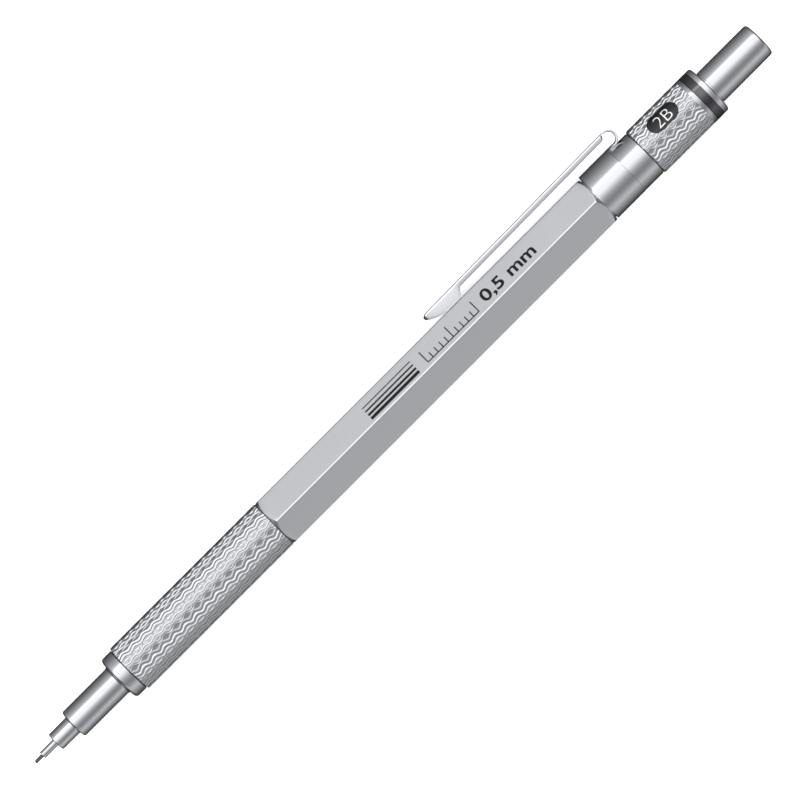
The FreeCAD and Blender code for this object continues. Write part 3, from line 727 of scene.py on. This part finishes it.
def makeArm():
    low, high = span("clip_arm")
    tipX, armEnd, top = low[0], high[0], high[1]
    rise = clip["tipDrop"] / (armEnd - tipX)
    stations = []
    along = [0, 0.04, 0.12, 0.25, 0.45, 0.7, 1.0] + [1.0 + 0.2 * k for k in range(1, 34)]
    along += [8.5 + 2.0 * k for k in range(14)] + [34.9, 35.1, 35.3, 35.5, 35.7, armEnd - tipX]
    for s in along:
        nose = max(0, 1 - s / 0.9)
        y = top - clip["tipDrop"] + rise * s - 0.3 * nose ** 2.2
        toRest = max(0, 1 - s / clip["lipFrom"]) ** clip["lipEase"]
        lowest = low[1] + clip["lipRise"] * toRest
        back = smoothStep(s, clip["lipTo"], clip["lipEnd"])
        depth = (y - lowest) * (1 - back) + clip["flange"] * back
        depth = min(depth, 0.45 + s * 1.6)
        half = clip["width"] / 2 * (1 - 0.35 * nose ** 2.5)
        close = smoothStep(s, armEnd - tipX - 0.75, armEnd - tipX - 0.35)
        depth = depth * (1 - close) + (clip["sheet"] + 0.02) * close
        half += (clip["neckWidth"] / 2 - half) * close
        ring = channelRing(half, half - 0.05 * (1 - close), depth, clip["sheet"])
        stations.append((tipX + s, y, 0, 1, ring))
    arm = keepEdges(sweep("clipArm", stations, polishedChrome), 40)
    arm.visible_glossy = False  # keeps its dark stripe off the band
    finishPiece(arm, "clip", ["clip_arm"])


def makeSpring():
    # one sheet of steel: band round the ferrule, neck flaring out of it, and the loop up to the arm
    low, high = span("clip_ring")
    armEnd = span("clip_arm")[1][0]
    start, rear = low[0], low[0] + clip["bandLength"]
    radius, shift, bore, sheet = clip["bandRadius"], clip["bandShift"], clip["bandBore"], clip["sheet"]
    degrees = [k * 1.5 for k in range(-120, 120)]
    outer, inner, grid = [], [], {}

    def addPair(key, top, under):
        grid[key] = len(outer)
        outer.append(top)
        inner.append(under)

    fixed = [0.0, 0.05, 0.4, 2.0, 4.0, 5.0, 5.3, clip["bandLength"]]  # rows of the band, in mm
    for column, angle in enumerate(degrees):
        a = math.radians(angle)
        side, up = math.sin(a), math.cos(a)
        for row, x in enumerate(fixed):
            addPair((row, column), (start + x, shift + radius * up, radius * side),
                    (start + x, bore * up, bore * side))
        if abs(angle) <= clip["flareFrom"]:
            t = min(1, (clip["flareFrom"] - abs(angle)) / (clip["flareFrom"] - clip["neckFrom"]))
            flare = clip["flareReach"] * (1 - math.sqrt(max(0, 1 - t ** 2.2)))
            for step in range(1, 5):
                x = rear + 0.004 + flare * step / 4
                inside = radius - sheet - 0.01
                addPair((7 + step, column), (x, shift + radius * up, radius * side),
                        (x, shift + inside * up, inside * side))
    neck = [c for c, angle in enumerate(degrees) if abs(angle) <= clip["neckFrom"]]
    flared = [c for c, angle in enumerate(degrees) if abs(angle) <= clip["flareFrom"]]
    centreX, centreY = armEnd + clip["armSplit"], clip["loopHeight"]
    middle = clip["loopRadius"] - sheet / 2
    path = [(rear + 1.2 + 0.15 * k, centreY - middle, 0, 1) for k in range(2)]
    for step in range(37):
        a = math.radians(-90 + 180 * step / 36)
        path.append((centreX + middle * math.cos(a), centreY + middle * math.sin(a),
                     -math.cos(a), -math.sin(a)))
    path.append((armEnd - 0.1, centreY + middle - 0.002, 0, -1))
    for index, (x, y, nx, ny) in enumerate(path):
        curved = 1 - smoothStep(index, 1, 14)
        for column in neck:
            a = math.radians(degrees[column])
            sag = radius * (1 - math.cos(a)) * curved
            narrow = (clip["neckWidth"] / 2) / (radius * math.sin(math.radians(clip["neckFrom"])))
            z = math.sin(a) * radius * narrow
            z = z * smoothStep(index, -1, 4) + math.sin(a) * radius * (1 - smoothStep(index, -1, 4))
            tops, unders = sheet / 2 - sag, -sheet / 2 - sag
            addPair((12 + index, column), (x + nx * tops, y + ny * tops, z),
                    (x + nx * unders, y + ny * unders, z))
    faces, count, lastColumn = [], len(degrees), len(degrees) - 1
    for row in range(7):
        for column in range(count):
            after = 0 if column == lastColumn else column + 1
            faces.append([grid[row, column], grid[row, after], grid[row + 1, after], grid[row + 1, column]])
    for columns, rows in ((flared, range(7, 11)), (neck, range(11, 11 + len(path)))):
        for row in rows:
            for column in columns[:-1]:
                faces.append([grid[row, column], grid[row, column + 1],
                              grid[row + 1, column + 1], grid[row + 1, column]])
    edges = {}
    for face in faces:
        for k in range(4):
            pair = (face[k], face[(k + 1) % 4])
            key = (min(pair), max(pair))
            edges[key] = None if key in edges else pair
    total = len(outer)
    rims = [[b, a, a + total, b + total] for a, b in (pair for pair in edges.values() if pair)]
    under = [[v + total for v in reversed(face)] for face in faces]
    piece = makeObject("clipSpring", outer + inner, faces + under + rims, turnedChrome, None, None)
    work = bmesh.new()
    work.from_mesh(piece.data)
    bmesh.ops.recalc_face_normals(work, faces=work.faces)
    rim = [edge for edge in work.edges if edge.calc_face_angle(0) > math.radians(55)]
    bmesh.ops.bevel(work, geom=rim, offset=clip["rimBevel"] * mm, segments=2, profile=0.5,
                    affect="EDGES", clamp_overlap=True)
    work.to_mesh(piece.data)
    work.free()
    keepEdges(piece, 50)
    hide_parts("clip_ring")
    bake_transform(piece)


rearRings = dict(seat=3.2, collarBore=2.8, collarLength=0.9)


def makeRearRings():
    low, high = span("colour_ring")
    seat, bore = rearRings["seat"], rearRings["collarBore"]
    outline = [(low[0], seat), (low[0], high[1]), (high[0], high[1]), (high[0], seat)]
    lathe("colourRing", outline, blackChrome, "barrel_group", ["colour_ring"],
          corners=[0.02, 0.05, 0.05, 0.02])
    low, high = span("end_collar")
    radius = -low[1]
    capStart = high[0] - rearRings["collarLength"]
    outline = [(low[0], bore), (low[0], seat), (capStart, seat), (capStart, radius),
               (high[0], radius), (high[0], bore)]
    lathe("endCollar", outline, turnedChrome, "barrel_group", ["end_collar"],
          corners=[0.02, 0.02, 0.02, 0.05, 0.62, 0.12])


button = dict(bore=2.2, top=1.0, rimGap=0.3, relief=0.06)


def makeButton():
    low, high = span("push_button")
    radius, rim = high[1], span("end_collar")[1][0] + button["rimGap"]
    bore, inside, skirt = button["bore"], high[0] - button["top"], radius - button["relief"]
    outline = [(low[0], bore), (inside, bore), (inside, 0), (high[0], 0), (high[0], radius),
               (rim, radius), (rim, skirt), (low[0], skirt)]
    lathe("pushButton", outline, turnedChrome, "cap", ["push_button"],
          corners=[0.05, 0.1, 0, 0, 0.55, 0.03, 0.02, 0.12])


makeFerrule()
makeArm()
makeSpring()
makeRearRings()
makeButton()
print("ferrule, clip and rear rings made")


finishes = {
    "grip_core": turnedBrass, "grip_washer": nitrileRubber, "lead_retainer": nitrileRubber,
    "friction_ring": nitrileRubber, "mechanism_housing": blackAcetal, "lead_tube": blackAcetal,
    "chuck_connector": turnedBrass, "chuck_shank": turnedBrass, "chuck_jaw_1": turnedBrass,
    "chuck_jaw_2": turnedBrass, "chuck_jaw_3": turnedBrass, "clutch_ring": turnedBrass,
    "eraser_cup": turnedAluminium, "eraser": vinylEraser,
    "spare_lead_1": graphite, "spare_lead_2": graphite, "spare_lead_3": graphite,
}
for node, material in finishes.items():
    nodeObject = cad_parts[node]
    nodeObject.data.materials.clear()
    nodeObject.data.materials.append(material)
print("inner parts finished")


ground = dict(reach=3000, gap=0.02, glow=0.32)


def makeFloor():
    # matt white paper: barely any sheen, and a little light of its own so that it stays pale
    material, tree, shader, where = newMaterial("matPaperFloor", "#fbfbfb", 0.9)
    shader.inputs["Specular IOR Level"].default_value = 0.1
    shader.inputs["Emission Color"].default_value = (1, 1, 1, 1)
    shader.inputs["Emission Strength"].default_value = ground["glow"]
    size, level = ground["reach"], cadLow.z / mm - ground["gap"]
    corners = [(-size, -size, level), (size, -size, level), (size, size, level), (-size, size, level)]
    floor = makeObject("floor", corners, [(0, 1, 2, 3)], material, None, None, smooth=False)
    floor.visible_glossy = False  # metal edges stay dark, as over black card


def makeLight(name, place, target, width, height, power):
    light = bpy.data.lights.new(name, "AREA")
    light.shape, light.size, light.size_y, light.energy = "RECTANGLE", width, height, power
    holder = bpy.data.objects.new(name, light)
    bpy.context.scene.collection.objects.link(holder)
    holder.location = place
    holder.rotation_euler = (Vector(target) - Vector(place)).to_track_quat("-Z", "Y").to_euler()
    holder.visible_camera = False
    return holder


# brightness of the studio round the pencil's axis: degrees from straight up toward the clip's side;
# the peak at 40 degrees is a long strip lamp, the dips are black cards
walls = [(-180, 0.02), (-150, 0.05), (-127, 0.18), (-110, 0.33), (-95, 0.5), (-80, 0.73), (-68, 0.62),
         (-57, 0.43), (-43, 0.3), (-30, 0.37), (-18, 0.54), (-8, 0.82), (0, 1.12), (9, 1.4), (20, 1.44),
         (35, 1.44), (37, 2.7), (43, 2.5), (46, 1.1), (53, 0.8), (60, 0.62), (72, 0.5), (84, 0.38),
         (96, 0.28), (108, 0.22), (120, 0.16), (136, 0.11), (152, 0.05), (180, 0.02)]
studio = dict(peak=2.7, endsFrom=0.8, endsTo=0.99, ends=0.06)


def makeWorld():
    world = bpy.data.worlds.new("studio")
    bpy.context.scene.world = world
    world.use_nodes = True
    tree = world.node_tree
    background = tree.nodes["Background"]
    way = addNode(tree, "ShaderNodeTexCoord").outputs["Generated"]
    split = addNode(tree, "ShaderNodeSeparateXYZ", None, {"Vector": way})
    angle = addNode(tree, "ShaderNodeMath", {"operation": "ARCTAN2"},
                    {0: split.outputs["Y"], 1: split.outputs["Z"]})
    share = addNode(tree, "ShaderNodeMapRange", None,
                    {"Value": angle.outputs["Value"], "From Min": -math.pi, "From Max": math.pi})
    wall = addNode(tree, "ShaderNodeValToRGB", None, {"Fac": share.outputs["Result"]})
    for index, (degrees, bright) in enumerate(walls):
        stops = wall.color_ramp.elements
        stop = stops[index] if index < 2 else stops.new((degrees + 180) / 360)
        bright /= studio["peak"]
        stop.position, stop.color = (degrees + 180) / 360, (bright * 0.985, bright * 0.99, bright, 1)
    along = addNode(tree, "ShaderNodeMath", {"operation": "ABSOLUTE"}, {0: split.outputs["X"]})
    ends = addNode(tree, "ShaderNodeMapRange", {"interpolation_type": "SMOOTHSTEP"},
                   {"Value": along.outputs["Value"], "From Min": studio["endsFrom"],
                    "From Max": studio["endsTo"]})
    dark = studio["ends"] / studio["peak"]
    # sockets 0, 6, 7 and 2 are the factor, the two colours and the colour that comes out
    mix = addNode(tree, "ShaderNodeMix", {"data_type": "RGBA"},
                  {0: ends.outputs["Result"], 6: wall.outputs["Color"], 7: (dark, dark, dark, 1)})
    tree.links.new(mix.outputs[2], background.inputs["Color"])
    background.inputs["Strength"].default_value = studio["peak"]


view = dict(centre=(70.55, -0.21), widthShown=112.0, lens=300, sensor=36)


def makeCamera():
    data = bpy.data.cameras.new("camera")
    data.lens, data.sensor_width = view["lens"], view["sensor"]
    camera = bpy.data.objects.new("camera", data)
    bpy.context.scene.collection.objects.link(camera)
    distance = view["widthShown"] * mm * view["lens"] / view["sensor"]
    camera.location = (view["centre"][0] * mm, view["centre"][1] * mm, distance)
    camera.rotation_euler = (0, 0, math.radians(-45))
    data.clip_start, data.clip_end = 0.05, 20
    bpy.context.scene.camera = camera


makeFloor()
makeWorld()
overhead = makeLight("overheadSoftbox", (0.07, 0.0, 1.1), (0.07, 0, 0), 1.6, 1.6, 17)
overhead.visible_glossy = False  # lights the floor and the inks; the metal shows the studio walls
makeCamera()
bpy.context.scene.view_settings.view_transform = "Standard"
print("studio made")
